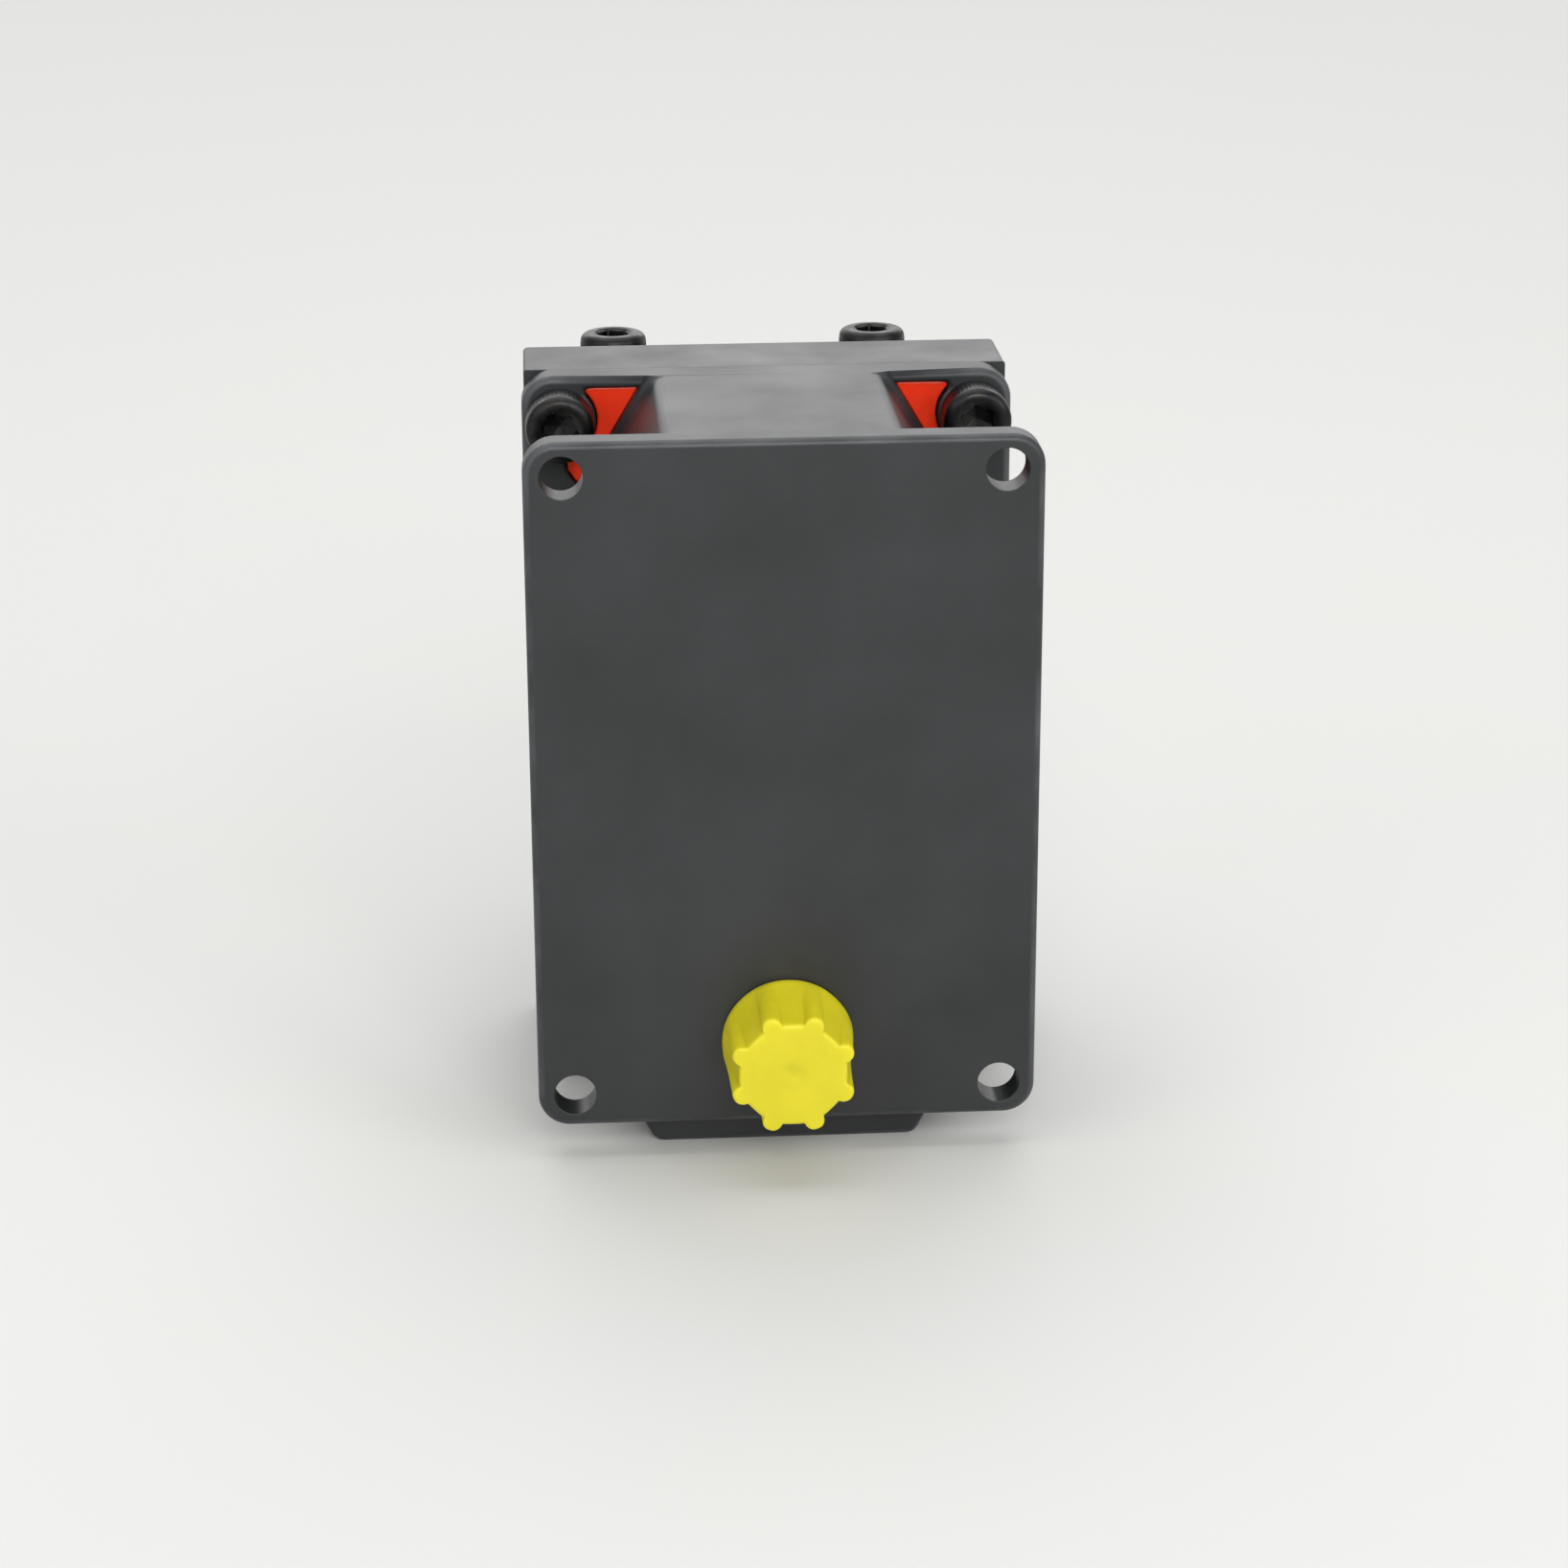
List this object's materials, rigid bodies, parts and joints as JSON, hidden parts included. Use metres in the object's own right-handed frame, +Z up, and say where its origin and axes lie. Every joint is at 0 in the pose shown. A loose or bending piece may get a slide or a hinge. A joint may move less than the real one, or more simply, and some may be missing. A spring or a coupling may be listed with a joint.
{
  "type": "rotary isolator switch",
  "caption": "Cast switch housing with a drilled front plate, a fluted turning knob low on its face and a rectangular contact block clamped behind its neck.",
  "frame": {"origin": "centre of the fixing holes, in the front face of the mounting plate", "axes": "+Z up, -Y out of the front face towards the user, +X to the right seen from the front"},
  "size_m": [0.095, 0.1186, 0.1412],
  "materials": {
    "housing_paint": "satin dark grey paint on a casting, worn lighter on the edges",
    "block_paint": "satin dark grey paint on machined metal",
    "red_moulding": "glossy orange-red moulded insulator",
    "black_screws": "black oxide, oiled",
    "plain_steel": "ground",
    "turned_steel": "turned",
    "spring_steel": "oil-tempered",
    "bronze": "sintered bronze",
    "brass": "turned brass",
    "copper": "plain copper",
    "seal_rubber": "matt black",
    "gasket_rubber": "matt black",
    "fibre": "vulcanised fibre",
    "black_moulding": "glass-filled moulding",
    "zinc_screws": "zinc plated",
    "zinc_washers": "zinc plated",
    "cover_plate": "satin dark grey paint",
    "yellow_moulding": "lemon yellow polyethylene, slightly translucent"
  },
  "bodies": {
    "case": {"housing": "housing_paint", "contact_block": "block_paint", "contact_carrier": "red_moulding", "clamp_screws": "black_screws", "dowel_pins": "plain_steel", "front_bush": "bronze", "shaft_seal": "seal_rubber", "thrust_washer": "bronze", "rear_bush": "bronze", "stop_pin": "plain_steel", "spring_plug": "brass", "line_bar": "copper", "load_bar": "copper", "bar_screws": "zinc_screws", "arc_barrier": "fibre", "terminal_base": "black_moulding", "base_screws": "zinc_screws", "terminal_nuts": "zinc_screws", "flat_washers": "zinc_washers", "spring_washers": "zinc_washers", "terminal_screws": "black_screws", "rear_cover": "cover_plate", "cover_gasket": "gasket_rubber", "cover_screws": "zinc_screws", "earth_screw": "brass", "earth_washer": "brass"},
    "turning": {"knob": "yellow_moulding", "knob_insert": "brass", "spindle": "turned_steel", "index_wheel": "plain_steel", "circlip": "spring_steel", "rotor": "black_moulding", "rotor_screw": "zinc_screws", "contact_leaves": "copper"},
    "plunger": {"detent_plunger": "turned_steel", "detent_spring": "spring_steel"}
  },
  "joints": [
    {"name": "spindle_turn", "type": "hinge", "parent": "case", "child": "turning", "pos_m": [0, 0, -0.0503], "axis": [0, 1, 0], "range_deg": [0, 90]},
    {"name": "detent_lift", "type": "slide", "parent": "case", "child": "plunger", "axis": [0, 0, 1], "range_m": [0, 0.0009], "stiffness_N_per_m": 1500, "springref_m": -0.002, "deforming": ["detent_spring"]}
  ]
}
